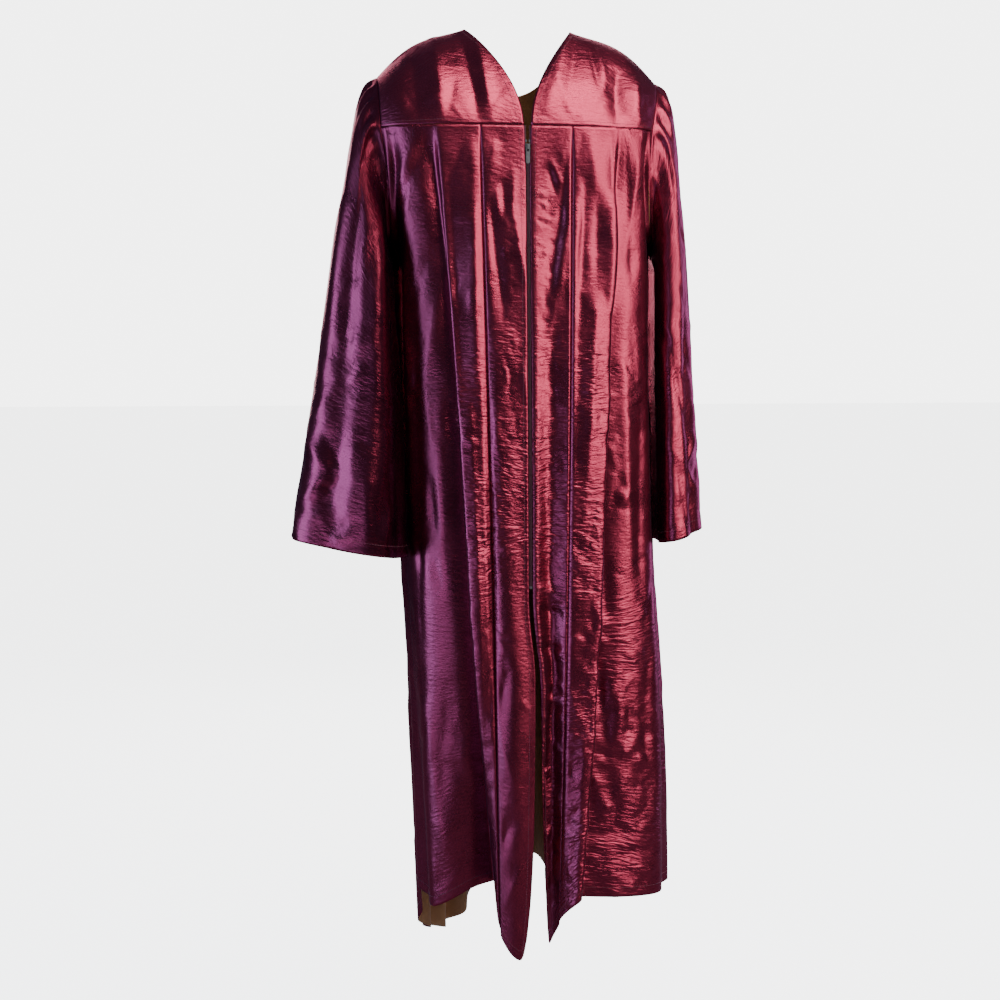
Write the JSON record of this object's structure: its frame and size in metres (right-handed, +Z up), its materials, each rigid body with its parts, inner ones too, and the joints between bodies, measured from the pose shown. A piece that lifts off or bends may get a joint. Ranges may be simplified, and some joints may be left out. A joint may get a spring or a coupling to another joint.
{
  "type": "graduation gown",
  "caption": "Full-length shiny satin graduation gown, filled out with no wearer: yoked shoulders, V neck, pleated fronts closed by a centre zip, fluted back, wide bell sleeves.",
  "frame": {"origin": "midway between the shoulders, at the middle height of the two shoulder seams, where a wearer holds the gown up", "axes": "+Z up along the gown's length, -Y towards the front with the zip, +X towards the sleeve on the right as seen from the front"},
  "size_m": [0.6168, 0.3605, 1.4058],
  "materials": {
    "satin": "glossy burgundy satin",
    "zip_tape": "dark woven tape with nylon coils",
    "zip_metal": "dull nickel"
  },
  "bodies": {
    "gown": {"yoke_front_left": "satin", "yoke_front_right": "satin", "yoke_back": "satin", "front_left": "satin", "front_right": "satin", "back_panel": "satin", "sleeve_left": "satin", "sleeve_right": "satin", "zip_tape_left": "zip_tape", "zip_tape_right": "zip_tape", "zip_chain": "zip_tape", "slider": "zip_metal", "slider_crown": "zip_metal", "top_stop_left": "zip_metal", "top_stop_right": "zip_metal", "bottom_stop": "zip_metal"},
    "zip_pull": {"pull_tab": "zip_metal"}
  },
  "joints": [
    {"name": "pull_tab_hinge", "type": "hinge", "parent": "gown", "child": "zip_pull", "pos_m": [0, -0.11667, -0.1445], "axis": [-1, 0, 0], "range_deg": [0, 135]}
  ]
}
